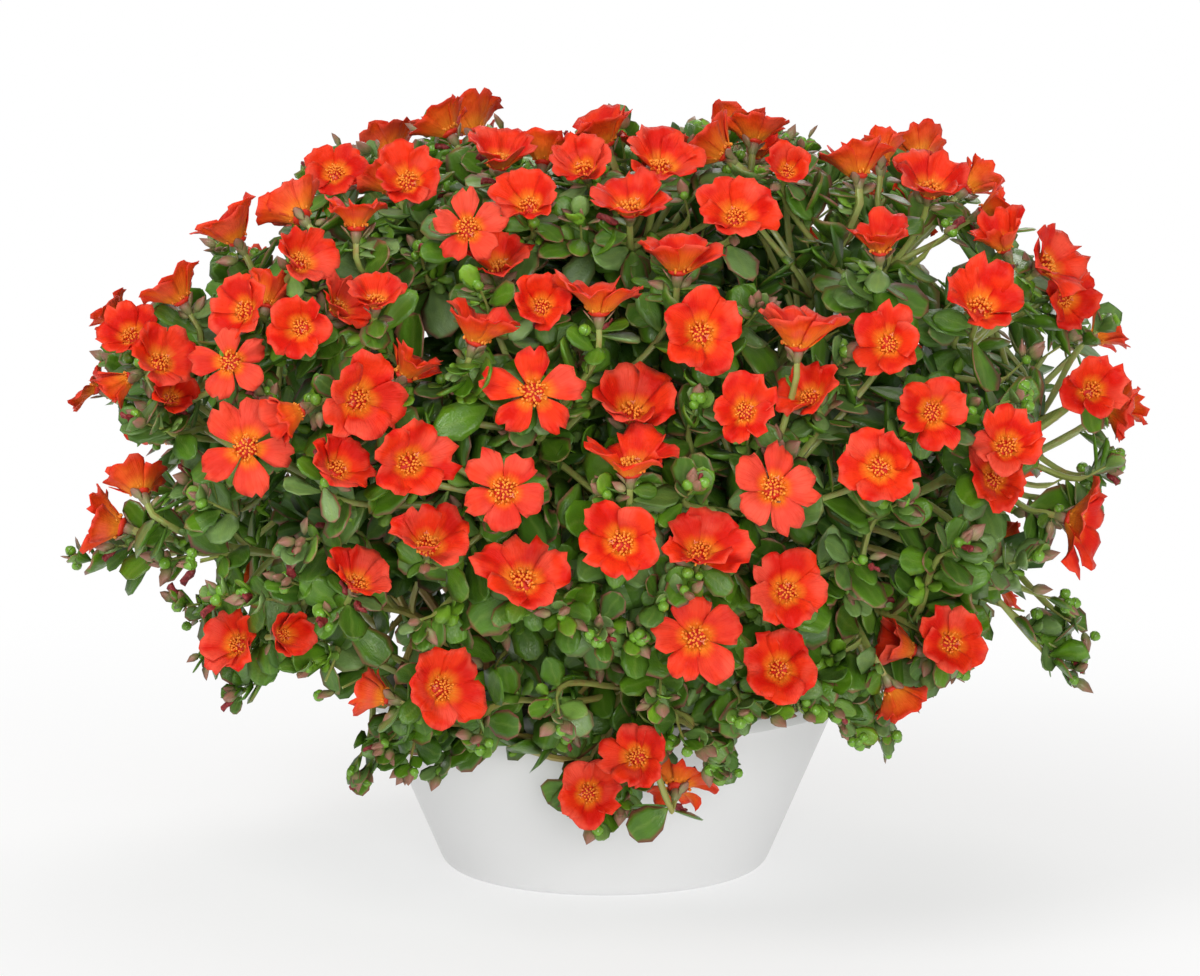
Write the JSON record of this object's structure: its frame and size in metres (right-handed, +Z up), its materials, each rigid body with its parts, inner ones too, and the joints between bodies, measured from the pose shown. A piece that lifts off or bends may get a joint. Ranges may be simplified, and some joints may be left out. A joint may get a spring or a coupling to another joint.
{
  "type": "potted portulaca plant",
  "caption": "Flowering portulaca grown as a dense round mound of leafy shoots with cup-shaped flowers, in a low round bowl filled with soil.",
  "frame": {"origin": "middle of the bowl's flat foot, on the surface it stands on", "axes": "+Z up along the bowl's axis, -Y towards the side of the plant that the picture shows, +X to that view's right"},
  "size_m": [0.5927, 0.5704, 0.4189],
  "materials": {
    "pot_white": "satin",
    "soil_brown": "matte",
    "shoot_green": "satin",
    "petal_orange": "satin"
  },
  "bodies": {
    "root": {"pot": "pot_white", "soil": "soil_brown", "stem_01": "shoot_green", "stem_02": "shoot_green", "stem_03": "shoot_green", "stem_04": "shoot_green", "stem_05": "shoot_green", "stem_06": "shoot_green", "stem_07": "shoot_green", "stem_08": "shoot_green", "stem_09": "shoot_green", "stem_10": "shoot_green", "stem_11": "shoot_green", "stem_12": "shoot_green", "stem_13": "shoot_green", "stem_14": "shoot_green", "stem_15": "shoot_green", "stem_16": "shoot_green", "stem_17": "shoot_green", "stem_18": "shoot_green", "stem_19": "shoot_green", "flower_01": "petal_orange", "flower_02": "petal_orange", "flower_03": "petal_orange", "flower_04": "petal_orange", "flower_05": "petal_orange", "flower_06": "petal_orange", "flower_07": "petal_orange", "flower_08": "petal_orange", "flower_09": "petal_orange", "flower_10": "petal_orange", "flower_11": "petal_orange", "flower_12": "petal_orange", "flower_13": "petal_orange", "flower_14": "petal_orange", "flower_15": "petal_orange", "flower_16": "petal_orange", "flower_17": "petal_orange", "flower_18": "petal_orange", "flower_19": "petal_orange", "flower_20": "petal_orange", "flower_21": "petal_orange", "flower_22": "petal_orange", "flower_23": "petal_orange", "flower_24": "petal_orange", "flower_25": "petal_orange", "flower_26": "petal_orange", "flower_27": "petal_orange", "flower_28": "petal_orange", "flower_29": "petal_orange", "flower_30": "petal_orange", "flower_31": "petal_orange", "flower_32": "petal_orange", "flower_33": "petal_orange", "flower_34": "petal_orange", "flower_35": "petal_orange", "flower_36": "petal_orange", "flower_37": "petal_orange", "flower_38": "petal_orange"}
  },
  "joints": []
}
